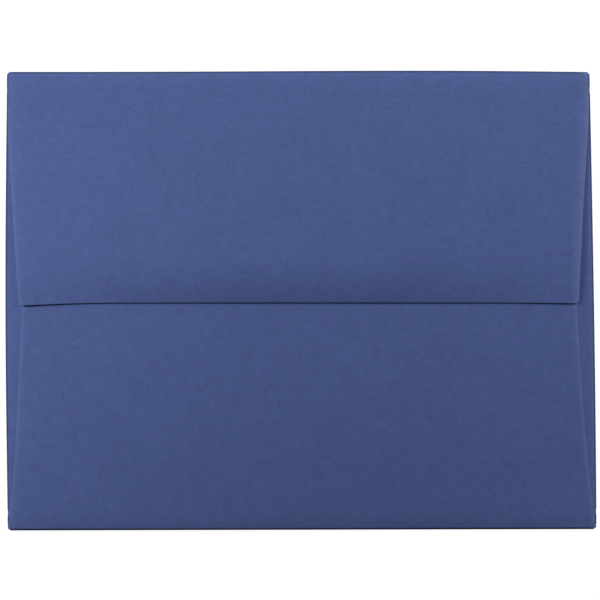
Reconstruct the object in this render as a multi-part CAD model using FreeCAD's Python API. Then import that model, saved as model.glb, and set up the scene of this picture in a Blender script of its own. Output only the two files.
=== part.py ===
import FreeCAD, Part
import math
import os

# A paper envelope with a deep square flap, closed but not sealed, lying on its front panel.
# It is one die-cut sheet: a front panel with four creases, two side flaps folded in first,
# a back panel folded up and glued over them, and a closing flap folded down over the mouth.
# Frame: X to the right, Y towards the flap's crease, Z up. The origin is under the middle.

Vector = FreeCAD.Vector

# Sheet, in millimetres
PAPER = 0.15

# Front panel, measured over the outside of the folds
BODY_WIDTH = 146.0
BODY_HEIGHT = 113.6
RIGHT_LEAN = 1.7
CORNER_RADIUS = 1.0

# Pocket: the clear height inside the side folds, and how much more it springs open in the middle
POCKET_GAP = 0.4
POCKET_CROWN = 3.0

# Side flaps, folded in first
SIDE_FLAP_WIDTH = 19.0
SIDE_FLAP_NOTCH = 0.8
SIDE_FLAP_END_SLOPE = 12.0
SIDE_FLAP_CORNER = 3.0

# Back panel, folded up from the bottom and glued over the side flaps. Its sides turn in
# quickly as far as the knee, and run up at a gentler taper from there.
BACK_HEIGHT = 72.0
BACK_KNEE_HEIGHT = 18.0
BACK_KNEE_INSET = 1.75
BACK_KNEE_RADIUS = 400.0
BACK_TAPER = 3.1
BACK_CORNER = 3.0
THROAT_DIP = 3.0

# Closing flap, folded down from the top. It leaves its crease at the lift angle, which is
# full in the middle and a share of that at the sides, and its edge curls down to the body.
FLAP_DEPTH = 57.6
FLAP_SHOULDER = 10.0
FLAP_TAPER = 3.9
FLAP_CORNER = 0.9
FLAP_EDGE_BOW = 0.4
FLAP_CLEARANCE = 0.15
FLAP_LIFT = 1.8
FLAP_SIDE_SHARE = 0.05
CURL_DEPTH = 11.3

# Sample counts of the curved panels, across and along
PANEL_SAMPLES = 9
FLAP_SAMPLES = 25

# Heights of the layers at the creases
SIDE_TOP = 2 * PAPER + POCKET_GAP
BACK_TOP = SIDE_TOP + PAPER
FLAP_UNDERSIDE = BACK_TOP + FLAP_CLEARANCE
FLAP_TOP = FLAP_UNDERSIDE + PAPER

# Outer radii of the folds: half of the height that each one turns through
SIDE_RADIUS = SIDE_TOP / 2
BOTTOM_RADIUS = BACK_TOP / 2
TOP_RADIUS = FLAP_TOP / 2

# Lines where the flat front panel ends and the folds begin
BOTTOM_CREASE = -BODY_HEIGHT / 2 + BOTTOM_RADIUS
TOP_CREASE = BODY_HEIGHT / 2 - TOP_RADIUS
LEFT_CREASE = -BODY_WIDTH / 2 + SIDE_RADIUS
RIGHT_CREASE = BODY_WIDTH / 2 - SIDE_RADIUS
FLAP_EDGE = BODY_HEIGHT / 2 - FLAP_DEPTH

# How far a cutting outline runs past the edges that it leaves alone
PAST = SIDE_RADIUS + CORNER_RADIUS


def right_crease(y):
    """X of the right crease, which leans in towards the top."""
    return RIGHT_CREASE - RIGHT_LEAN * (y - BOTTOM_CREASE) / (TOP_CREASE - BOTTOM_CREASE)


def across(side, y, inset):
    """X of a point that lies inset from the left (-1) or right (+1) crease at height y."""
    return LEFT_CREASE + inset if side < 0 else right_crease(y) - inset


def hump(t):
    """A smooth rise from 0 at either end of the range 0 to 1, up to 1 in its middle."""
    return 4 * t * (1 - t)


def share_across(x, y):
    """Where x lies between the side creases, from 0 at the left to 1 at the right."""
    return (x - LEFT_CREASE) / (right_crease(y) - LEFT_CREASE)


def pocket_rise(x, y):
    """How far the pocket's upper layers spring up: nothing at the creases, most in the middle."""
    share_up = (y - BOTTOM_CREASE) / (TOP_CREASE - BOTTOM_CREASE)
    return POCKET_CROWN * hump(share_across(x, y)) * hump(share_up)


def flap_rise(x, y):
    """The flap rises straight from its crease, then its free edge curls back down to the body."""
    depth = TOP_CREASE - y
    full = TOP_CREASE - FLAP_EDGE
    drop = full / CURL_DEPTH ** 2
    into_curl = max(0.0, depth - (full - CURL_DEPTH))
    fullness = FLAP_SIDE_SHARE + (1 - FLAP_SIDE_SHARE) * hump(share_across(x, y))
    slope = math.tan(math.radians(FLAP_LIFT)) * fullness
    return slope * (depth - drop * into_curl ** 2)


def panel_surface(y_from, y_to, rows, height):
    """A smooth face between the side creases, through heights sampled on a grid."""
    grid = []
    for row in range(rows):
        y = y_from + (y_to - y_from) * row / (rows - 1)
        left, right = LEFT_CREASE, right_crease(y)
        line = []
        for column in range(PANEL_SAMPLES):
            x = left + (right - left) * column / (PANEL_SAMPLES - 1)
            line.append(Vector(x, y, height(x, y)))
        grid.append(line)
    surface = Part.BSplineSurface()
    surface.interpolate(grid)
    return surface.toShape()


def prism(wire):
    """An upright cutting block over a flat outline, taller than the envelope."""
    block_height = 2 * FLAP_DEPTH
    block = Part.Face(wire).extrude(Vector(0, 0, block_height))
    block.translate(Vector(0, 0, -block_height / 2))
    return block


def rounded_outline(corners, radii):
    """A closed flat wire through corner points, each rounded by its own radius (0 leaves it sharp)."""
    count = len(corners)
    cuts = []
    for i, radius in enumerate(radii):
        corner = corners[i]
        back = (corners[i - 1] - corner).normalize()
        ahead = (corners[(i + 1) % count] - corner).normalize()
        if radius == 0:
            cuts.append((corner, None, corner))
            continue
        half = back.getAngle(ahead) / 2
        reach = radius / math.tan(half)
        middle = (back + ahead).normalize() * (radius / math.sin(half) - radius)
        cuts.append((corner + back * reach, corner + middle, corner + ahead * reach))
    edges = []
    for i, (start, middle, end) in enumerate(cuts):
        if middle is not None:
            edges.append(Part.Arc(start, middle, end).toShape())
        following = cuts[(i + 1) % count][0]
        edges.append(Part.makeLine(end, following))
    return Part.Wire(edges)


def front_panel():
    """The flat panel that the envelope lies on, up to its four creases."""
    corners = [
        Vector(LEFT_CREASE, BOTTOM_CREASE, 0),
        Vector(right_crease(BOTTOM_CREASE), BOTTOM_CREASE, 0),
        Vector(right_crease(TOP_CREASE), TOP_CREASE, 0),
        Vector(LEFT_CREASE, TOP_CREASE, 0),
    ]
    return Part.Face(Part.makePolygon(corners + corners[:1])).extrude(Vector(0, 0, PAPER))


def fold(start, end, outward, radius):
    """A half-round fold of the sheet, swept along its crease from start to end."""
    up = Vector(0, 0, 1)
    inner = radius - PAPER
    centre = start + up * radius
    outer_arc = Part.Arc(centre - up * radius, centre + outward * radius, centre + up * radius)
    inner_arc = Part.Arc(centre + up * inner, centre + outward * inner, centre - up * inner)
    section = Part.Wire([
        outer_arc.toShape(),
        Part.makeLine(centre + up * radius, centre + up * inner),
        inner_arc.toShape(),
        Part.makeLine(centre - up * inner, centre - up * radius),
    ])
    return Part.Face(section).extrude(end - start)


def body_outline():
    """The envelope's outline from above, with its rounded corners."""
    left = -BODY_WIDTH / 2
    bottom, top = -BODY_HEIGHT / 2, BODY_HEIGHT / 2
    corners = [
        Vector(left, bottom, 0),
        Vector(right_crease(bottom) + SIDE_RADIUS, bottom, 0),
        Vector(right_crease(top) + SIDE_RADIUS, top, 0),
        Vector(left, top, 0),
    ]
    return rounded_outline(corners, [CORNER_RADIUS] * 4)


def end_fold(y, radius):
    """The fold along the bottom or the top, with its ends rounded into the corners."""
    start = Vector(LEFT_CREASE, y, 0)
    end = Vector(right_crease(y), y, 0)
    outward = Vector(0, math.copysign(1, y), 0)
    return fold(start, end, outward, radius).common(prism(body_outline()))


def side_fold(side):
    """The fold between the front panel and one side flap."""
    low = BOTTOM_CREASE + SIDE_FLAP_NOTCH
    high = TOP_CREASE - SIDE_FLAP_NOTCH
    start = Vector(across(side, low, 0), low, 0)
    end = Vector(across(side, high, 0), high, 0)
    return fold(start, end, Vector(side, 0, 0), SIDE_RADIUS)


def side_flap(side, pocket):
    """One side flap, just under the back panel, with sloping ends and rounded free corners."""
    low = BOTTOM_CREASE + SIDE_FLAP_NOTCH
    high = TOP_CREASE - SIDE_FLAP_NOTCH
    rise = SIDE_FLAP_WIDTH * math.tan(math.radians(SIDE_FLAP_END_SLOPE))
    corners = [
        Vector(across(side, low, 0), low, 0),
        Vector(across(side, low, SIDE_FLAP_WIDTH), low + rise, 0),
        Vector(across(side, high, SIDE_FLAP_WIDTH), high - rise, 0),
        Vector(across(side, high, 0), high, 0),
        Vector(across(side, high, -PAST), high, 0),
        Vector(across(side, low, -PAST), low, 0),
    ]
    outline = rounded_outline(corners, [0, SIDE_FLAP_CORNER, SIDE_FLAP_CORNER, 0, 0, 0])
    return pocket.extrude(Vector(0, 0, -PAPER)).common(prism(outline))


def back_panel(pocket):
    """The back panel: tapered sides, rounded upper corners and a shallow dip at the throat."""
    top = BOTTOM_CREASE + BACK_HEIGHT
    knee = BOTTOM_CREASE + BACK_KNEE_HEIGHT
    low = BOTTOM_CREASE - PAST
    foot = -PAST * BACK_KNEE_INSET / BACK_KNEE_HEIGHT
    head = BACK_KNEE_INSET + (top - knee) * math.tan(math.radians(BACK_TAPER))
    corners = [
        Vector(across(-1, low, foot), low, 0),
        Vector(across(1, low, foot), low, 0),
        Vector(across(1, knee, BACK_KNEE_INSET), knee, 0),
        Vector(across(1, top, head), top, 0),
        Vector(across(-1, top, head), top, 0),
        Vector(across(-1, knee, BACK_KNEE_INSET), knee, 0),
    ]
    radii = [0, 0, BACK_KNEE_RADIUS, BACK_CORNER, BACK_CORNER, BACK_KNEE_RADIUS]
    outline = rounded_outline(corners, radii)
    panel = pocket.extrude(Vector(0, 0, PAPER)).common(prism(outline))
    reach = SIDE_FLAP_WIDTH + BACK_CORNER
    left = Vector(across(-1, top, reach), top, 0)
    right = Vector(across(1, top, reach), top, 0)
    bottom = (left + right) / 2 - Vector(0, THROAT_DIP, 0)
    dip = Part.Wire([Part.Arc(left, bottom, right).toShape(), Part.makeLine(right, left)])
    return panel.cut(prism(dip))


def closing_flap(flap):
    """The flap: full width at its shoulders, then tapered, with a slightly bowed free edge."""
    shoulder = TOP_CREASE - FLAP_SHOULDER
    slope = math.tan(math.radians(FLAP_TAPER))
    inset = (shoulder - FLAP_EDGE) * slope
    past = TOP_CREASE + PAST
    corners = [
        Vector(across(-1, past, 0) - PAST, past, 0),
        Vector(across(-1, shoulder, 0) - PAST, shoulder, 0),
        Vector(across(-1, shoulder, 0), shoulder, 0),
        Vector(across(-1, FLAP_EDGE, inset), FLAP_EDGE, 0),
        Vector(across(1, FLAP_EDGE, inset), FLAP_EDGE, 0),
        Vector(across(1, shoulder, 0), shoulder, 0),
        Vector(across(1, shoulder, 0) + PAST, shoulder, 0),
        Vector(across(1, past, 0) + PAST, past, 0),
    ]
    outline = rounded_outline(corners, [0, 0, 0, FLAP_CORNER, FLAP_CORNER, 0, 0, 0])
    panel = flap.extrude(Vector(0, 0, PAPER)).common(prism(outline))
    reach = inset + FLAP_CORNER
    left = Vector(across(-1, FLAP_EDGE, reach), FLAP_EDGE, 0)
    right = Vector(across(1, FLAP_EDGE, reach), FLAP_EDGE, 0)
    middle = (left + right) / 2 + Vector(0, FLAP_EDGE_BOW, 0)
    bow = Part.Wire([Part.Arc(left, middle, right).toShape(), Part.makeLine(right, left)])
    return panel.cut(prism(bow))


def envelope():
    """The whole folded and glued sheet, as one solid with an open pocket."""
    pocket = panel_surface(
        BOTTOM_CREASE, TOP_CREASE, PANEL_SAMPLES,
        lambda x, y: SIDE_TOP + pocket_rise(x, y),
    )
    flap = panel_surface(
        TOP_CREASE, FLAP_EDGE, FLAP_SAMPLES,
        lambda x, y: FLAP_UNDERSIDE + pocket_rise(x, y) + flap_rise(x, y),
    )
    pieces = [
        end_fold(BOTTOM_CREASE, BOTTOM_RADIUS),
        end_fold(TOP_CREASE, TOP_RADIUS),
        side_fold(-1),
        side_fold(1),
        side_flap(-1, pocket),
        side_flap(1, pocket),
        back_panel(pocket),
        closing_flap(flap),
    ]
    return front_panel().fuse(pieces)


def main():
    os.makedirs("parts", exist_ok=True)
    sheet = envelope()
    sheet.exportStep("parts/envelope.step")
    print("solids", len(sheet.Solids), "valid", sheet.isValid(), "volume", round(sheet.Volume, 1))
    print("box", sheet.BoundBox)


main()
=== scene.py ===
import math

import bpy
import numpy as np
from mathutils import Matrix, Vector
from mathutils.geometry import delaunay_2d_cdt


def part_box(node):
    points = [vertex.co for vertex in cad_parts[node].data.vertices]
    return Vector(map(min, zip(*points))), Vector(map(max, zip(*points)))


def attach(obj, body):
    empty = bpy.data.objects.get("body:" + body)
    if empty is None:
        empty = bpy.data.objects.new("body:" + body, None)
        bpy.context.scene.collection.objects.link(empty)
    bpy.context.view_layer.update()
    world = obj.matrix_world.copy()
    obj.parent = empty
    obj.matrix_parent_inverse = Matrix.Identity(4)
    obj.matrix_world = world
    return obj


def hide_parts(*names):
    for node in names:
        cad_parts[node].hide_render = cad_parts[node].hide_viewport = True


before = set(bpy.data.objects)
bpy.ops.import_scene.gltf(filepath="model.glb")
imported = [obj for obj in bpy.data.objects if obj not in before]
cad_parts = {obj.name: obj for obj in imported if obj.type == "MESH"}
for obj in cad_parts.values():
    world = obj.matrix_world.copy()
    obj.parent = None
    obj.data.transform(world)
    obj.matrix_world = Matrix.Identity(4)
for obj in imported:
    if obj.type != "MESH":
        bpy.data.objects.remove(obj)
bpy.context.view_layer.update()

# The envelope is drawn as its flat blank, cut to shape, and every point is then folded into
# place. The blank lies in the plane of the front panel, whose creases stay where they are.
MM = 0.001

# Sheet and folds. The overall width and height come from the frame.
LOW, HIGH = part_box("envelope")
PAPER = 0.15 * MM
POCKET_GAP = 0.4 * MM
FLAP_CLEARANCE = 0.15 * MM
GLUE_GAP = 0.01 * MM
RIGHT_LEAN = 1.7 * MM
CORNER_RADIUS = 1.0 * MM

# Side flaps
SIDE_FLAP_WIDTH = 19.0 * MM
SIDE_FLAP_NOTCH = 0.8 * MM
SIDE_FLAP_END_SLOPE = 12.0
SIDE_FLAP_CORNER = 3.0 * MM
# How far the panels reach out over the side folds, left and right
OVER_LEFT = 0.25 * MM
OVER_RIGHT = 0.0 * MM
CORNER_OVER = 0.3 * MM

# Back panel
BACK_HEIGHT = 72.0 * MM
BACK_KNEE_HEIGHT = 18.0 * MM
BACK_KNEE_INSET = 1.75 * MM
BACK_KNEE_RADIUS = 400.0 * MM
BACK_TAPER = 3.1
BACK_CORNER = 3.0 * MM
BACK_INSET_RIGHT = 0.2 * MM
THROAT_DIP = 3.0 * MM

# Closing flap
FLAP_DEPTH = 57.6 * MM
FLAP_SHOULDER = 10.0 * MM
FLAP_SHOULDER_RADIUS = 60.0 * MM
TAPER_LEFT = 3.9
TAPER_RIGHT = 4.2
WAIST_RIGHT = 0.2 * MM
WAIST_RADIUS = 400.0 * MM
FLAP_CORNER = 0.9 * MM
FLAP_EDGE_BOW = 0.32 * MM
FLAP_EDGE_WAVE = 0.09 * MM
FLAP_DROOP_LEFT = 0.54 * MM
FLAP_DROOP_RIGHT = 0.2 * MM
FLAP_DROOP_REACH = 0.17

# How the panels spring: the pocket's crown, and the flap's lift and curl
CROWN = 2.9 * MM
FLAP_LIFT = 1.8
FLAP_SIDE_SHARE = 0.05
CURL_DEPTH = 11.3 * MM
# The free edge stands off the back panel, most at its left corner
FREE_EDGE_GAP = 0.02 * MM
CORNER_GAP_LEFT = 0.38 * MM
CORNER_GAP_RIGHT = 0.14 * MM
CORNER_GAP_REACH = 0.15
# The flap's right shoulder lies closer: how far, how wide, from which depth and to which
SHOULDER_PRESS = 0.2 * MM
SHOULDER_PRESS_WIDTH = 9.0 * MM
SHOULDER_PRESS_FALLOFF = 1.5
SHOULDER_PRESS_DEPTHS = (0, 5 * MM, 22 * MM, 34 * MM)
# Beside a fold a panel rises this much quickly, the rest of its crown gently
FOLD_SPRING = 0.2 * MM
FLAP_SPRING = 0.2 * MM
SPRING_WIDTH = 3.5 * MM
FLAP_SPRING_WIDTH = 2.0 * MM
LEFT_SPRING_WIDTH = 6.0 * MM
RIGHT_SPRING_WIDTH = 15.0 * MM

# Bows of the folds, as the photo shows them
LEFT_LEAN = 0.19 * MM
LEFT_BOW = 0.47 * MM
LEFT_BOW_SHARPNESS = 1.4
RIGHT_BOW = 0.24 * MM
RIGHT_WAVE = 0.02 * MM
TOP_BOW = 0.3 * MM
TOP_BOW_SHARPNESS = 1.5
TOP_BOW_LEAN = 1.9
BOTTOM_RISE = (0.04 * MM, 0.38 * MM)

# Slight waves in the sheet
COCKLE = 0.012 * MM
COCKLE_WAVES = ((31 * MM, 0.35, 0.4), (23 * MM, 1.25, 2.1), (17 * MM, 2.2, 4.0), (41 * MM, 2.8, 5.2))

# Cut edges: how wide a band rolls down and by how much, how wide a band is paler and how pale, from
# rubbed wear and partly a painted highlight
LEFT_EDGES = (1.8 * MM, 0.08 * MM, 1.5 * MM, 0.4)
RIGHT_FLAP_EDGE = (3.0 * MM, 0.25 * MM, 2.5 * MM, 0.9)
RIGHT_SEAM_EDGE = (1.8 * MM, 0.12 * MM, 1.5 * MM, 0.8)
ROLL_FADE = 3.0 * MM
WEAR_AND_HIGHLIGHT_FALLOFF = 1.5

# Mesh spacing: on the panels, round the folds, just past the folds and along the cut edges
STEP = 1.6 * MM
FINE_STEP = 0.8 * MM
FINE_REACH = 4.8 * MM
FOLD_STEPS = 10
THROAT_STEPS = 40
FREE_EDGE_STEPS = 60
BESIDE_FOLD = (0.2 * MM, 0.6 * MM)
BESIDE_FOLD_END = np.array((-0.15, 0.0, 0.15, 0.3, 0.5, 0.8, 1.1, 1.5)) * MM
EDGE_RINGS = (0.25 * MM, 0.6 * MM, 1.1 * MM)
RING_TOLERANCE = 0.03 * MM
CLEAR_OF_OUTLINE = 0.08 * MM
CLEAR_OF_RINGS = 0.3 * MM
SHARP_ANGLE = 50

# Heights and radii of the sheet's middle surface
FLOOR_LAYER = PAPER / 2
SIDE_RADIUS = (PAPER + POCKET_GAP) / 2 - GLUE_GAP / 2
BACK_RADIUS = (2 * PAPER + POCKET_GAP) / 2
FLAP_RADIUS = (3 * PAPER + POCKET_GAP + FLAP_CLEARANCE) / 2

# Creases of the front panel
BOTTOM = LOW.y + BACK_RADIUS + PAPER / 2
TOP = HIGH.y - FLAP_RADIUS - PAPER / 2
LEFT = LOW.x + SIDE_RADIUS + PAPER / 2
RIGHT = HIGH.x - SIDE_RADIUS - PAPER / 2
FLAP_EDGE = HIGH.y - FLAP_DEPTH

# Painted shade darkens each fold, and a painted highlight makes it paler just inside that dark line:
# how much, and over which widths. The panels' corners that wrap over a side fold get the same
# painted shade as the fold.
FOLD_PAINTED_SHADE = {"bottom": 0.95, "right": 0.5, "top": 0.55, "left": 0.6}
FOLD_PAINTED_HIGHLIGHT = {"bottom": 0.0, "right": 0.5, "top": 0.14, "left": 0.14}
PAINTED_SHADE_BAND = (0.25 * MM, 0.45 * MM)
PAINTED_HIGHLIGHT_BAND = (0.3 * MM, 0.45 * MM, 1.0 * MM)
CORNER_PAINTED_SHADE = 0.6
CORNER_BAND = (-0.1 * MM, 0.1 * MM)

# Colours, linear. The paper leans a little towards violet in places and towards teal in others.
PAPER_BLUE = (0.0625, 0.093, 0.238)
VIOLET_TINT = (1.035, 0.98, 1.0)
TEAL_TINT = (0.965, 1.02, 1.0)
# The pale colour of rubbed edges and of the painted highlight beside the folds
WEAR_AND_HIGHLIGHT_BLUE = (0.106, 0.140, 0.295)
# The colour of the painted shade at the folds
FOLD_SHADE_BLUE = (0.010, 0.015, 0.042)
SPECULAR = 0.12
# Shifts the pattern of the sheet's other side, so that the two sides differ
OTHER_SIDE = 7.0 * MM

# The floor's colour for light that falls on the envelope, and as the camera sees it: a dim
# surface that keeps the shadow, with a glow that brings it to white
FLOOR_WHITE = (0.80, 0.80, 0.80)
FLOOR_SEEN = (0.12, 0.12, 0.12)
FLOOR_GLOW = 0.96
FLOOR_HALF_WIDTH = 4.0
FLOOR_HEIGHT = -0.03 * MM

# Light: the even world, and the lamps as name, azimuth, elevation, distance, level and size
AMBIENT = 0.107
LAMPS = (
    ("key", 158.8, 25, 0.466, 0.565, 0.12),
    ("fill", 29.4, 22, 0.345, 0.302, 0.15),
)

# Camera, and the photo's framing in its pixels
CAMERA_DISTANCE = 3.0
SENSOR_WIDTH = 36.0
IMAGE_SIDE = 600
PHOTO_WIDTH = 589.5
PHOTO_MIDDLE = (301.7, 301.25)


def right_crease(y):
    """X of the right crease, which leans in towards the top."""
    return RIGHT - RIGHT_LEAN * (y - BOTTOM) / (TOP - BOTTOM)


def across(side, y, inset):
    """X of a point that lies inset from the left (-1) or right (+1) crease at height y."""
    return LEFT + inset if side < 0 else right_crease(y) - inset


class Crease:
    """A straight fold of the blank: a point on it, its outward normal and its bend radius."""

    def __init__(self, point, normal, radius):
        self.point = np.array(point)
        self.normal = np.array(normal) / np.linalg.norm(normal)
        self.radius = radius
        self.turn = math.pi * radius

    def beyond(self, points):
        """How far the points lie outside the crease."""
        return (points - self.point) @ self.normal

    def unfold(self, point, turned=math.pi):
        """The blank's point for a folded one, or for one part of the way round the fold."""
        point = np.array(point)
        inside = -self.beyond(point)
        return point + self.normal * (2 * inside + turned * self.radius)


def creases():
    """The front panel's four creases, in the order in which the sheet is folded."""
    return {
        "bottom": Crease((LEFT, BOTTOM), (0.0, -1.0), BACK_RADIUS),
        "right": Crease((RIGHT, BOTTOM), (TOP - BOTTOM, RIGHT_LEAN), SIDE_RADIUS),
        "top": Crease((LEFT, TOP), (0.0, 1.0), FLAP_RADIUS),
        "left": Crease((LEFT, BOTTOM), (-1.0, 0.0), SIDE_RADIUS),
    }


CREASES = creases()


def rounded(corners, radii, arc_steps=8):
    """Points along a line through corners, each rounded by its own radius."""
    corners = [np.array(c, float) for c in corners]
    path = [corners[0]]
    for before, corner, after, radius in zip(corners, corners[1:], corners[2:], radii):
        if radius == 0:
            path.append(corner)
            continue
        back = (before - corner) / np.linalg.norm(before - corner)
        ahead = (after - corner) / np.linalg.norm(after - corner)
        half = math.acos(np.clip(back @ ahead, -1, 1)) / 2
        start = corner + back * radius / math.tan(half)
        end = corner + ahead * radius / math.tan(half)
        middle = (back + ahead) / np.linalg.norm(back + ahead)
        centre = corner + middle * radius / math.sin(half)
        first, last = start - centre, end - centre
        sweep = math.pi - 2 * half
        for step in range(arc_steps + 1):
            t = step / arc_steps
            point = (math.sin((1 - t) * sweep) * first + math.sin(t * sweep) * last) / math.sin(sweep)
            path.append(centre + point)
    path.append(corners[-1])
    return path


def spaced(path, step):
    """The same path with points added, so that no two lie further apart than step."""
    points = [path[0]]
    for start, end in zip(path, path[1:]):
        count = max(1, math.ceil(np.linalg.norm(end - start) / step - 1e-6))
        points += [start + (end - start) * k / count for k in range(1, count + 1)]
    return points


def fold_end(crease, side, y, height):
    """The end of the bottom or top fold, trimmed so that the folded corner is round."""
    points = []
    for step in range(FOLD_STEPS + 1):
        angle = math.pi * step / FOLD_STEPS
        reach = crease.radius * math.sin(angle) + PAPER / 2
        into = max(0.0, reach - (height - CORNER_RADIUS))
        trim = CORNER_RADIUS - math.sqrt(CORNER_RADIUS ** 2 - min(into, CORNER_RADIUS * 0.98) ** 2)
        trim -= SIDE_RADIUS + PAPER / 2
        points.append(crease.unfold((across(side, y, trim), y), angle))
    return points


def back_panel_path():
    """The back panel's cut edge, from its foot at the left, over the throat, to the right foot."""
    top = BOTTOM + BACK_HEIGHT
    knee = BOTTOM + BACK_KNEE_HEIGHT
    reach = SIDE_FLAP_WIDTH + BACK_CORNER

    def side_path(side, knee_inset):
        head = knee_inset + (top - knee) * math.tan(math.radians(BACK_TAPER))
        corners = [
            (across(side, BOTTOM, -CORNER_OVER), BOTTOM),
            (across(side, knee, knee_inset), knee),
            (across(side, top, head), top),
            (across(side, top, reach), top),
        ]
        return rounded(corners, [BACK_KNEE_RADIUS, BACK_CORNER])

    left = side_path(-1, BACK_KNEE_INSET)
    right = side_path(1, BACK_KNEE_INSET + BACK_INSET_RIGHT)
    throat = []
    for step in range(1, THROAT_STEPS):
        t = step / THROAT_STEPS
        x = left[-1][0] + (right[-1][0] - left[-1][0]) * t
        throat.append(np.array((x, top - THROAT_DIP * hump(t))))
    return left + throat + right[::-1]


def flap_path():
    """The closing flap's cut edge, from the right shoulder, along the free edge, to the left."""
    shoulder = TOP - FLAP_SHOULDER

    def side_path(side, over, taper, waist, droop):
        inset = (shoulder - FLAP_EDGE) * math.tan(math.radians(taper)) - over
        end = FLAP_EDGE + FLAP_EDGE_BOW - droop
        middle = (shoulder + end) / 2
        corners = [
            (across(side, TOP, -CORNER_OVER), TOP),
            (across(side, shoulder, -over), shoulder),
            (across(side, middle, (inset - over) / 2 + waist), middle),
            (across(side, end, inset), end),
            (across(side, end, inset + 2 * FLAP_CORNER), end),
        ]
        return rounded(corners, [FLAP_SHOULDER_RADIUS, WAIST_RADIUS if waist else 0, FLAP_CORNER])

    left = side_path(-1, OVER_LEFT, TAPER_LEFT, 0, FLAP_DROOP_LEFT)
    right = side_path(1, OVER_RIGHT, TAPER_RIGHT, WAIST_RIGHT, FLAP_DROOP_RIGHT)
    edge = []
    for step in range(1, FREE_EDGE_STEPS):
        t = step / FREE_EDGE_STEPS
        x = right[-1][0] + (left[-1][0] - right[-1][0]) * t
        droop = FLAP_DROOP_RIGHT * max(0.0, 1 - t / FLAP_DROOP_REACH) ** 2
        droop += FLAP_DROOP_LEFT * max(0.0, 1 - (1 - t) / FLAP_DROOP_REACH) ** 2
        wave = FLAP_EDGE_WAVE * math.sin(2 * math.pi * t)
        edge.append(np.array((x, FLAP_EDGE + FLAP_EDGE_BOW - droop - wave)))
    return right + edge + left[::-1]


def side_flap_path(side):
    """A side flap's cut edge, from its lower end to its upper end, with the ends of its fold."""
    crease = CREASES["left" if side < 0 else "right"]
    low, high = BOTTOM + SIDE_FLAP_NOTCH, TOP - SIDE_FLAP_NOTCH
    rise = SIDE_FLAP_WIDTH * math.tan(math.radians(SIDE_FLAP_END_SLOPE))
    corners = [
        (across(side, low, 0), low),
        (across(side, low, SIDE_FLAP_WIDTH), low + rise),
        (across(side, high, SIDE_FLAP_WIDTH), high - rise),
        (across(side, high, 0), high),
    ]
    path = [crease.unfold(p) for p in rounded(corners, [SIDE_FLAP_CORNER] * 2)]
    turns = [math.pi * step / FOLD_STEPS for step in range(FOLD_STEPS)]
    into = [crease.unfold(corners[0], turn) for turn in turns]
    out = [crease.unfold(corners[-1], turn) for turn in reversed(turns)]
    return into + path + out


def blank_outline():
    """The whole blank's outline, anticlockwise from the front panel's lower left corner."""
    bottom, top = CREASES["bottom"], CREASES["top"]
    below, above = BOTTOM - LOW.y, HIGH.y - TOP
    path = fold_end(bottom, -1, BOTTOM, below)
    path += [bottom.unfold(p) for p in back_panel_path()]
    path += fold_end(bottom, 1, BOTTOM, below)[::-1]
    path += side_flap_path(1)
    path += fold_end(top, 1, TOP, above)
    path += [top.unfold(p) for p in flap_path()]
    path += fold_end(top, -1, TOP, above)[::-1]
    path += side_flap_path(-1)[::-1]
    path.append(path[0])
    path = spaced(path, FINE_STEP)[:-1]
    kept = [path[0]]
    for point in path[1:]:
        if np.linalg.norm(point - kept[-1]) > 1e-3 * MM:
            kept.append(point)
    return np.array(kept)


def hump(t):
    """A smooth rise from 0 at either end of the range 0 to 1, up to 1 in its middle."""
    return 4 * t * (1 - t)


def shares(x, y):
    """Where a folded point lies between the creases, across and up, each from 0 to 1."""
    return (x - LEFT) / (right_crease(y) - LEFT), (y - BOTTOM) / (TOP - BOTTOM)


def spring(distance, width):
    """A quick rise from 0 at a fold to 1 at the given width."""
    return 1 - np.clip(1 - distance / width, 0, 1) ** 2


def pocket_rise(x, y):
    """How far the pocket's panels spring up at a folded point."""
    u, v = shares(x, y)
    beside = spring(x - LEFT, LEFT_SPRING_WIDTH) * spring(right_crease(y) - x, RIGHT_SPRING_WIDTH)
    beside = beside * spring(TOP - y, SPRING_WIDTH) * spring(y - BOTTOM, SPRING_WIDTH)
    return (CROWN - FOLD_SPRING) * hump(u) * hump(v) + FOLD_SPRING * beside


def flap_rise(x, y):
    """How far the closing flap stands up from the pocket: its lift, its curl and its corners."""
    depth = TOP - y
    full = TOP - FLAP_EDGE
    into_curl = np.maximum(0.0, depth - (full - CURL_DEPTH))
    u = np.clip(shares(x, y)[0], 0, 1)
    fullness = FLAP_SIDE_SHARE + (1 - FLAP_SIDE_SHARE) * hump(u)
    slope = math.tan(math.radians(FLAP_LIFT)) * fullness
    corners = CORNER_GAP_LEFT * np.clip(1 - u / CORNER_GAP_REACH, 0, 1)
    corners = corners + CORNER_GAP_RIGHT * np.clip(1 - (1 - u) / CORNER_GAP_REACH, 0, 1)
    stand_off = (FREE_EDGE_GAP + corners) * np.clip(depth / full, 0, 1) ** 2
    lift = slope * (depth - full / CURL_DEPTH ** 2 * into_curl ** 2)
    away = np.clip((full - depth) / (full - FLAP_SPRING_WIDTH), 0, 1)
    beside = np.clip(1 - (right_crease(y) - x) / SHOULDER_PRESS_WIDTH, 0, 1)
    press = SHOULDER_PRESS * beside ** SHOULDER_PRESS_FALLOFF
    press = press * np.interp(depth, SHOULDER_PRESS_DEPTHS, (0, 1, 1, 0))
    return lift + FLAP_SPRING * spring(depth, FLAP_SPRING_WIDTH) * away + stand_off - press


def cockle(x, y):
    """Slight waves, which die away at the creases."""
    u, v = shares(x, y)
    total = 0.0
    for length, heading, phase in COCKLE_WAVES:
        along = x * math.cos(heading) + y * math.sin(heading)
        total = total + np.sin(2 * math.pi * along / length + phase)
    return COCKLE * total * np.clip(hump(u), 0, 1) * np.clip(hump(v), 0, 1)


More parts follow.
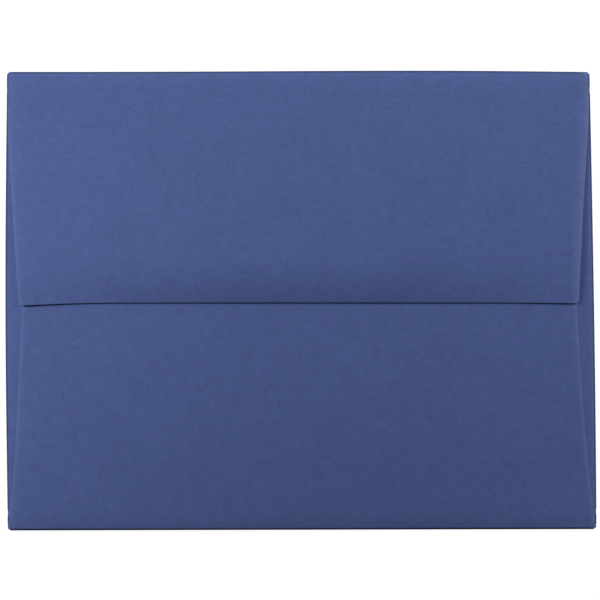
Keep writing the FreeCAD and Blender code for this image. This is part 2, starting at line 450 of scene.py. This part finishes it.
def bow(x, y):
    """The folded plan with the slight bows of its folds."""
    u, v = shares(x, y)
    across_share, up_share = np.clip(u, 0, 1), np.clip(v, 0, 1)
    left = LEFT_LEAN * (1 - v) - LEFT_BOW * hump(up_share) ** LEFT_BOW_SHARPNESS
    right = RIGHT_BOW * hump(up_share) + RIGHT_WAVE * np.sin(2 * math.pi * up_share)
    low = BOTTOM_RISE[0] + (BOTTOM_RISE[1] - BOTTOM_RISE[0]) * u
    top = TOP_BOW * hump(across_share ** TOP_BOW_LEAN) ** TOP_BOW_SHARPNESS
    return x + left * (1 - u) + right * u, y + low * (1 - v) + top * v


def folded(points):
    """The middle surface's place for points of the blank."""
    x, y = points[:, 0].copy(), points[:, 1].copy()
    z = np.full(len(points), FLOOR_LAYER)
    for name, crease in CREASES.items():
        beyond = past(name, points)
        turning = (beyond > 0) & (beyond < crease.turn)
        over = beyond >= crease.turn
        angle = np.clip(beyond / crease.radius, 0, math.pi)
        out = np.where(over, crease.turn - beyond, crease.radius * np.sin(angle))
        moved = points + np.outer(out - beyond, crease.normal)
        hit = turning | over
        x[hit], y[hit] = moved[hit, 0], moved[hit, 1]
        z[turning] += crease.radius * (1 - np.cos(angle[turning]))
        px, py = moved[over, 0], moved[over, 1]
        rise = pocket_rise(px, py) + cockle(px, py)
        if name == "top":
            rise = rise + flap_rise(px, py)
        z[over] += 2 * crease.radius + rise
    x, y = bow(x, y)
    return np.stack([x, y, z], axis=1)


def folded_normals(points):
    """Unit normals of the folded sheet, towards the inside of the pocket."""
    nudge = 0.002 * MM
    over_x = folded(points + (nudge, 0)) - folded(points - (nudge, 0))
    over_y = folded(points + (0, nudge)) - folded(points - (0, nudge))
    normals = np.cross(over_x, over_y)
    return normals / np.linalg.norm(normals, axis=1)[:, None]


def distance_to(points, outline, upright_only=False):
    """Each point's distance to the blank's cut edge, or to its edges that run up and down."""
    start = outline
    along = np.roll(outline, -1, axis=0) - outline
    if upright_only:
        upright = np.abs(along[:, 1]) > 3 * np.abs(along[:, 0])
        start, along = start[upright], along[upright]
    length = (along ** 2).sum(1)
    nearest = np.full(len(points), np.inf)
    for chunk in range(0, len(points), 2000):
        part = points[chunk:chunk + 2000]
        offset = part[:, None, :] - start[None, :, :]
        t = np.clip((offset * along).sum(2) / length, 0, 1)
        gap = np.linalg.norm(offset - t[:, :, None] * along, axis=2)
        nearest[chunk:chunk + 2000] = gap.min(1)
    return nearest


def inside(points, outline):
    """Which points lie inside the outline."""
    ahead = np.roll(outline, -1, axis=0)
    crossings = np.zeros(len(points), int)
    for (x1, y1), (x2, y2) in zip(outline, ahead):
        spans = (points[:, 1] < y1) != (points[:, 1] < y2)
        if spans.any():
            at = x1 + (points[:, 1] - y1) * (x2 - x1) / (y2 - y1)
            crossings += spans & (points[:, 0] < at)
    return crossings % 2 == 1


def grid(x_values, y_values):
    """Every point of a rectangular grid."""
    xs, ys = np.meshgrid(x_values, y_values)
    return np.stack([xs.ravel(), ys.ravel()], axis=1)


def lines(start, end, step):
    """Even values from start to end, no further apart than step."""
    return np.linspace(start, end, max(2, math.ceil(abs(end - start) / step)) + 1)


def closer_at_ends(start, end):
    """Values from start to end, closer together at both ends, where a panel rises quickly."""
    return np.concatenate([
        lines(start, start + FINE_REACH, FINE_STEP)[:-1],
        lines(start + FINE_REACH, end - FINE_REACH, STEP)[:-1],
        lines(end - FINE_REACH, end, FINE_STEP),
    ])


def past(name, points):
    """How far the points lie past a crease, for those points that are folded round it."""
    distance = CREASES[name].beyond(points)
    if name in ("left", "right"):
        beside = (points[:, 1] > BOTTOM) & (points[:, 1] < TOP)
        distance = np.where(beside, distance, -1.0)
    return distance


def in_a_fold(points):
    """Which points lie in the part of the blank that goes round a fold."""
    hit = np.zeros(len(points), bool)
    for name, crease in CREASES.items():
        distance = past(name, points)
        hit |= (distance > 0.01 * MM) & (distance < crease.turn + 0.02 * MM)
    return hit


def fold_points():
    """Rows of points round each fold, closer together near the fold's ends."""
    turns = np.linspace(0, math.pi, FOLD_STEPS + 1)
    near = BESIDE_FOLD_END
    sets = []
    for y, crease in ((BOTTOM, CREASES["bottom"]), (TOP, CREASES["top"])):
        end = right_crease(y)
        xs = np.concatenate([LEFT + near, lines(LEFT, end, STEP)[2:-2], end - near])
        heights = y + crease.normal[1] * crease.radius * turns
        sets.append(grid(xs, heights))
    ys = np.concatenate([
        BOTTOM + SIDE_FLAP_NOTCH + near,
        lines(BOTTOM, TOP, STEP)[2:-2],
        TOP - SIDE_FLAP_NOTCH - near,
    ])
    for crease, xs in ((CREASES["left"], np.full(len(ys), LEFT)), (CREASES["right"], right_crease(ys))):
        foot = np.stack([xs, ys], axis=1)
        sets += [foot + crease.normal * (crease.radius * turn) for turn in turns]
    return np.concatenate(sets)


def panel_points():
    """Points on each of the five panels: in a grid, and closer together where a panel curves."""
    xs = lines(LEFT, RIGHT, STEP)
    ys = lines(BOTTOM, TOP, STEP)
    full = TOP - FLAP_EDGE
    straight = lines(0, full - CURL_DEPTH - 2 * MM, STEP)
    curl = lines(full - CURL_DEPTH - 2 * MM, full, FINE_STEP)[1:]
    down = BOTTOM - CREASES["bottom"].turn
    up = TOP + CREASES["top"].turn
    front = grid(xs, ys)
    front = front[CREASES["right"].beyond(front) < -CLEAR_OF_RINGS]
    sets = [
        front,
        grid(xs, down - np.concatenate([BESIDE_FOLD, closer_at_ends(BESIDE_FOLD[1], BACK_HEIGHT)[1:]])),
        grid(xs, up + np.concatenate([BESIDE_FOLD, straight[1:], curl])),
    ]
    rows = closer_at_ends(BOTTOM, TOP)
    for crease, feet in (
        (CREASES["left"], np.full(len(rows), LEFT)), (CREASES["right"], right_crease(rows)),
    ):
        foot = np.stack([feet, rows], axis=1)
        for distance in (*BESIDE_FOLD, *lines(0, SIDE_FLAP_WIDTH, STEP)[1:]):
            sets.append(foot + crease.normal * (crease.turn + distance))
    return np.concatenate(sets)


def edge_rings(outline):
    """Rows of points just inside the cut edge, so that its roll and wear are smooth."""
    back = np.roll(outline, 1, axis=0)
    ahead = np.roll(outline, -1, axis=0)
    along = ahead - back
    normal = np.stack([-along[:, 1], along[:, 0]], axis=1)
    normal /= np.linalg.norm(normal, axis=1)[:, None]
    rings = np.concatenate([outline + normal * width for width in EDGE_RINGS])
    rings = rings[inside(rings, outline) & ~in_a_fold(rings)]
    gap = distance_to(rings, outline)
    off = np.min(np.abs(gap[:, None] - np.array(EDGE_RINGS)[None, :]), axis=1)
    return rings[off < RING_TOLERANCE]


def triangulate():
    """The blank's points and triangles, with its outline."""
    outline = blank_outline()
    folds = fold_points()
    folds = folds[inside(folds, outline)]
    folds = folds[distance_to(folds, outline) > CLEAR_OF_OUTLINE]
    panels = panel_points()
    panels = panels[inside(panels, outline) & ~in_a_fold(panels)]
    panels = panels[distance_to(panels, outline) > EDGE_RINGS[-1] + CLEAR_OF_RINGS]
    everything = np.concatenate([outline, edge_rings(outline), folds, panels])
    points = [Vector(p) for p in everything / MM]
    edges = [(k, (k + 1) % len(outline)) for k in range(len(outline))]
    verts, _, faces, *_ = delaunay_2d_cdt(points, edges, [], 1, 1e-5)
    flat = np.array([(v.x, v.y) for v in verts]) * MM
    return flat, [tuple(f) for f in faces], outline


def fold_tones(flat):
    """How much painted shade darkens the paper at the folds, and how much painted highlight makes it
    paler just inside that dark line.
    """
    painted_shade = np.zeros(len(flat))
    pale_wear_and_highlight = np.zeros(len(flat))
    for name, crease in CREASES.items():
        turned = np.abs(past(name, flat) - crease.turn / 2) / crease.radius
        beyond = np.maximum(0, turned - math.pi / 2)
        inset = crease.radius * (1 - np.cos(turned - beyond) + beyond)
        painted_shade = np.maximum(painted_shade, FOLD_PAINTED_SHADE[name] * np.interp(inset, PAINTED_SHADE_BAND, (1, 0)))
        pale_wear_and_highlight = np.maximum(pale_wear_and_highlight, FOLD_PAINTED_HIGHLIGHT[name] * np.interp(inset, PAINTED_HIGHLIGHT_BAND, (0, 1, 0)))
    return painted_shade, pale_wear_and_highlight


def panel_depths(flat):
    """How far points lie past the end of the top fold, and past that of the bottom fold."""
    return [past(name, flat) - CREASES[name].turn for name in ("top", "bottom")]


def over_a_side_fold(flat):
    """1 where the flap or the back panel reaches out over a side fold, 0 on the panels."""
    above, below = panel_depths(flat)
    y = np.where(above > below, TOP - above, BOTTOM + below)
    out = np.maximum(LEFT - flat[:, 0], flat[:, 0] - right_crease(y))
    return np.where(np.maximum(above, below) > 0, np.interp(out, CORNER_BAND, (0, 1)), 0)


def edge_finish(flat, gap):
    """How far flap and back panel roll down beside their cut edges, and how pale they are there, from
    wear and partly from a painted highlight.
    """
    above, below = panel_depths(flat)
    on_right = flat[:, 0] > 0
    on_back = below > above
    roll = np.zeros(len(flat))
    edge_wear_and_highlight = np.zeros(len(flat))
    for where, (width, drop, wear_and_highlight_width, pale_wear_and_highlight) in (
        (~on_right, LEFT_EDGES),
        (on_right & on_back, RIGHT_SEAM_EDGE),
        (on_right & ~on_back, RIGHT_FLAP_EDGE),
    ):
        roll[where] = drop * np.clip(1 - gap[where] / width, 0, 1) ** 2
        edge_wear_and_highlight[where] = pale_wear_and_highlight * np.clip(1 - gap[where] / wear_and_highlight_width, 0, 1) ** WEAR_AND_HIGHLIGHT_FALLOFF
    roll *= np.clip(np.maximum(above, below) / ROLL_FADE, 0, 1)
    return roll, edge_wear_and_highlight


def build_envelope():
    """The folded sheet as one closed mesh. The glued back panel rolls off on its outside only."""
    flat, faces, outline = triangulate()
    gap = distance_to(flat, outline, upright_only=True)
    middle = folded(flat)
    normals = folded_normals(flat)
    roll, edge_wear_and_highlight = edge_finish(flat, gap)
    above, below = panel_depths(flat)
    inner_roll = np.where(below > above, 0, roll)
    inner = middle + normals * (inner_roll + PAPER / 2)[:, None]
    outer = middle + normals * (roll - PAPER / 2)[:, None]
    count = len(flat)
    used = {}
    for a, b, c in faces:
        for edge in ((a, b), (b, c), (c, a)):
            used[edge] = True
    rim = [(a, b) for a, b in used if (b, a) not in used]
    polygons = [(a, b, c) for a, b, c in faces]
    polygons += [(c + count, b + count, a + count) for a, b, c in faces]
    polygons += [(b, a, a + count, b + count) for a, b in rim]
    mesh = bpy.data.meshes.new("envelope_sheet")
    mesh.from_pydata(np.concatenate([inner, outer]).tolist(), [], polygons)
    write_point_data(mesh, flat, edge_wear_and_highlight)
    mesh.shade_smooth()
    mesh.set_sharp_from_angle(angle=math.radians(SHARP_ANGLE))
    mesh.validate()
    piece = bpy.data.objects.new("envelope_sheet", mesh)
    bpy.context.scene.collection.objects.link(piece)
    return piece


def write_point_data(mesh, flat, edge_wear_and_highlight):
    """Writes each point's place on the blank, its painted fold shade, its paleness from wear and
    painted highlight, and a texture map of the blank.
    """
    count = len(flat)
    place = np.zeros((2 * count, 3), np.float32)
    place[:count, :2] = flat
    place[count:, :2] = flat
    place[count:, 2] = OTHER_SIDE
    sheet = mesh.attributes.new("sheet", "FLOAT_VECTOR", "POINT")
    sheet.data.foreach_set("vector", place.ravel())
    painted_shade, pale_wear_and_highlight = fold_tones(flat)
    corner = over_a_side_fold(flat)
    # The corners over a side fold get the same painted shade as the fold
    painted_shade = np.maximum(painted_shade, CORNER_PAINTED_SHADE * corner)
    # The painted fold shade is kept in the crease attribute
    crease = mesh.attributes.new("crease", "FLOAT", "POINT")
    crease.data.foreach_set("value", np.tile(painted_shade, 2).astype(np.float32))
    # Paler bands: the painted highlight inside the folds, and the cut edges' wear with its share of
    # painted highlight, none on the painted corner shade
    pale_wear_and_highlight = np.maximum(pale_wear_and_highlight, edge_wear_and_highlight * (1 - corner))
    edge = mesh.attributes.new("edge", "FLOAT", "POINT")
    edge.data.foreach_set("value", np.tile(pale_wear_and_highlight, 2).astype(np.float32))
    corner_verts = np.zeros(len(mesh.loops), int)
    mesh.loops.foreach_get("vertex_index", corner_verts)
    span = 2 * np.abs(flat).max()
    uv = mesh.uv_layers.new(name="blank")
    coords = np.tile(flat, (2, 1))[corner_verts] / span + 0.5
    uv.data.foreach_set("uv", coords.astype(np.float32).ravel())


class Nodes:
    """A short way to write a shader's nodes."""

    def __init__(self, tree):
        self.tree = tree
        tree.nodes.clear()

    def add(self, kind, inputs=None, **settings):
        node = self.tree.nodes.new(kind)
        for name, value in settings.items():
            setattr(node, name, value)
        for name, value in (inputs or {}).items():
            if isinstance(value, bpy.types.NodeSocket):
                self.tree.links.new(value, node.inputs[name])
            else:
                node.inputs[name].default_value = value
        return node

    def math(self, operation, a, b, clamp=False):
        node = self.add("ShaderNodeMath", {0: a, 1: b}, operation=operation, use_clamp=clamp)
        return node.outputs[0]

    def mix(self, factor, a, b):
        node = self.add("ShaderNodeMix", data_type="RGBA")
        self.tree.links.new(factor, node.inputs["Factor"])
        for socket, value in ((node.inputs[6], a), (node.inputs[7], b)):
            if isinstance(value, bpy.types.NodeSocket):
                self.tree.links.new(value, socket)
            else:
                socket.default_value = (*value, 1)
        return node.outputs[2]

    def range(self, value, low, high, to_low, to_high):
        node = self.add("ShaderNodeMapRange", {
            "Value": value, "From Min": low, "From Max": high, "To Min": to_low, "To Max": to_high,
        })
        return node.outputs[0]


def paper_material():
    """Matte blue paper with a faint mottle, short fibres and specks, painted shade at the folds, and
    paler bands of wear and painted highlight. Sizes are in millimetres.
    """
    material = bpy.data.materials.new("blue_paper")
    material.use_nodes = True
    n = Nodes(material.node_tree)
    place = n.add("ShaderNodeAttribute", attribute_name="sheet").outputs["Vector"]
    crease = n.add("ShaderNodeAttribute", attribute_name="crease").outputs["Fac"]
    edge = n.add("ShaderNodeAttribute", attribute_name="edge").outputs["Fac"]

    def noise(size_mm, detail=2.0, rough=0.5, vector=place):
        return n.add("ShaderNodeTexNoise", {
            "Vector": vector, "Scale": 1000 / size_mm, "Detail": detail, "Roughness": rough,
        }).outputs["Fac"]

    def fibres(turn, length_mm, width_mm, low, high):
        """Sparse thin streaks that run one way."""
        turned = n.add("ShaderNodeMapping", {
            "Vector": place,
            "Rotation": (0, 0, turn),
            "Scale": (width_mm / length_mm, 1, 1),
        }).outputs[0]
        return n.range(noise(width_mm, 1.0, 0.4, turned), low, high, 0, 1)

    clouds = noise(10, 3, 0.55)
    mottle = noise(2.4, 4, 0.8)
    tint = noise(2.8, 2, 0.6, n.add("ShaderNodeMapping", {
        "Vector": place, "Location": (0.3, 0.2, 0.1),
    }).outputs[0])
    grain = noise(0.4, 2, 0.6)
    specks = n.range(noise(0.9, 0.5, 0.5), 0.70, 0.78, 0, 1)
    lighter = n.math("MAXIMUM", fibres(0.1, 2.0, 0.55, 0.66, 0.76), fibres(1.5, 1.8, 0.5, 0.66, 0.76))
    lighter = n.math("MAXIMUM", lighter, fibres(-0.75, 1.6, 0.5, 0.67, 0.77))
    darker = n.math("MAXIMUM", fibres(0.6, 1.8, 0.55, 0.67, 0.77), fibres(-1.35, 1.6, 0.5, 0.67, 0.77))
    darker = n.math("MAXIMUM", darker, specks)
    value = n.range(clouds, 0.3, 0.7, 0.975, 1.025)
    value = n.math("ADD", value, n.range(mottle, 0.3, 0.7, -0.075, 0.075))
    value = n.math("ADD", value, n.range(grain, 0.3, 0.7, -0.06, 0.06))
    value = n.math("ADD", value, n.math("MULTIPLY", lighter, 0.10))
    value = n.math("SUBTRACT", value, n.math("MULTIPLY", darker, 0.11))
    violet = tuple(c * k for c, k in zip(PAPER_BLUE, VIOLET_TINT))
    teal = tuple(c * k for c, k in zip(PAPER_BLUE, TEAL_TINT))
    paper = n.mix(n.range(tint, 0.3, 0.7, 0, 1), violet, teal)
    # Painted shade at the folds and on the corners over a side fold
    base = n.mix(crease, paper, FOLD_SHADE_BLUE)
    # Paler bands: rubbed wear and painted highlight
    base = n.mix(edge, base, WEAR_AND_HIGHLIGHT_BLUE)
    toned = n.add("ShaderNodeVectorMath", {0: base, 1: value}, operation="MULTIPLY").outputs[0]
    height = n.math("ADD", n.math("MULTIPLY", grain, 0.6), n.math("MULTIPLY", lighter, 0.5))
    bump = n.add("ShaderNodeBump", {
        "Strength": 0.35, "Distance": 0.02 * MM, "Height": height,
    }).outputs["Normal"]
    rough = n.range(grain, 0.3, 0.7, 0.86, 0.96)
    shader = n.add("ShaderNodeBsdfPrincipled", {
        "Base Color": toned, "Roughness": rough, "Normal": bump,
    })
    shader.inputs["Specular IOR Level"].default_value = SPECULAR
    n.add("ShaderNodeOutputMaterial", {"Surface": shader.outputs[0]})
    return material


def background_share(n):
    """1 for rays that show the background, straight or in a reflection."""
    path = n.add("ShaderNodeLightPath")
    seen = n.math("MAXIMUM", path.outputs["Is Camera Ray"], path.outputs["Is Glossy Ray"])
    return n.math("MAXIMUM", seen, path.outputs["Is Transmission Ray"])


def build_floor():
    """A wide white floor, which shows the envelope's soft shadow."""
    half, low = FLOOR_HALF_WIDTH, FLOOR_HEIGHT
    mesh = bpy.data.meshes.new("floor")
    corners = [(-half, -half, low), (half, -half, low), (half, half, low), (-half, half, low)]
    mesh.from_pydata(corners, [], [(0, 1, 2, 3)])
    floor = bpy.data.objects.new("floor", mesh)
    bpy.context.scene.collection.objects.link(floor)
    material = bpy.data.materials.new("floor_white")
    material.use_nodes = True
    n = Nodes(material.node_tree)
    plain = n.add("ShaderNodeBsdfDiffuse", {"Color": (*FLOOR_WHITE, 1)})
    seen = n.add("ShaderNodeBsdfDiffuse", {"Color": (*FLOOR_SEEN, 1)})
    glow = n.add("ShaderNodeEmission", {"Strength": FLOOR_GLOW})
    lit = n.add("ShaderNodeAddShader", {0: seen.outputs[0], 1: glow.outputs[0]})
    both = n.add("ShaderNodeMixShader", {
        0: background_share(n), 1: plain.outputs[0], 2: lit.outputs[0],
    })
    n.add("ShaderNodeOutputMaterial", {"Surface": both.outputs[0]})
    mesh.materials.append(material)


def build_world():
    """Even light from all round, seen as white."""
    world = bpy.data.worlds.new("studio")
    bpy.context.scene.world = world
    world.use_nodes = True
    n = Nodes(world.node_tree)
    soft = n.add("ShaderNodeBackground", {"Strength": AMBIENT})
    white = n.add("ShaderNodeBackground", {"Strength": 1.0})
    both = n.add("ShaderNodeMixShader", {
        0: background_share(n), 1: soft.outputs[0], 2: white.outputs[0],
    })
    n.add("ShaderNodeOutputWorld", {"Surface": both.outputs[0]})


def build_light(name, azimuth, elevation, distance, level, size):
    """A square lamp that aims at the middle of the envelope and lights it to the given level."""
    lamp = bpy.data.lights.new(name, "AREA")
    lamp.size = size
    rise = math.radians(elevation)
    turn = math.radians(azimuth)
    towards = Vector((math.cos(rise) * math.cos(turn), math.cos(rise) * math.sin(turn), math.sin(rise)))
    lamp.energy = level * math.pi ** 2 * distance ** 2 / math.sin(rise)
    light = bpy.data.objects.new(name, lamp)
    light.location = towards * distance
    light.rotation_mode = "QUATERNION"
    light.rotation_quaternion = towards.to_track_quat("Z", "Y")
    light.visible_camera = False
    bpy.context.scene.collection.objects.link(light)


def build_camera():
    """Straight down from far off, with the photo's framing."""
    pixel = (HIGH.x - LOW.x) / PHOTO_WIDTH
    data = bpy.data.cameras.new("camera")
    data.sensor_width = SENSOR_WIDTH
    data.lens = SENSOR_WIDTH * CAMERA_DISTANCE / (IMAGE_SIDE * pixel)
    camera = bpy.data.objects.new("camera", data)
    across_px = IMAGE_SIDE / 2 - PHOTO_MIDDLE[0]
    up_px = PHOTO_MIDDLE[1] - IMAGE_SIDE / 2
    camera.location = (across_px * pixel, up_px * pixel, CAMERA_DISTANCE)
    bpy.context.scene.collection.objects.link(camera)
    bpy.context.scene.camera = camera


def main():
    piece = build_envelope()
    piece.data.materials.append(paper_material())
    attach(piece, "root")
    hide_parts("envelope")
    build_floor()
    build_world()
    for lamp in LAMPS:
        build_light(*lamp)
    build_camera()
    bpy.context.scene.view_settings.view_transform = "Standard"


main()
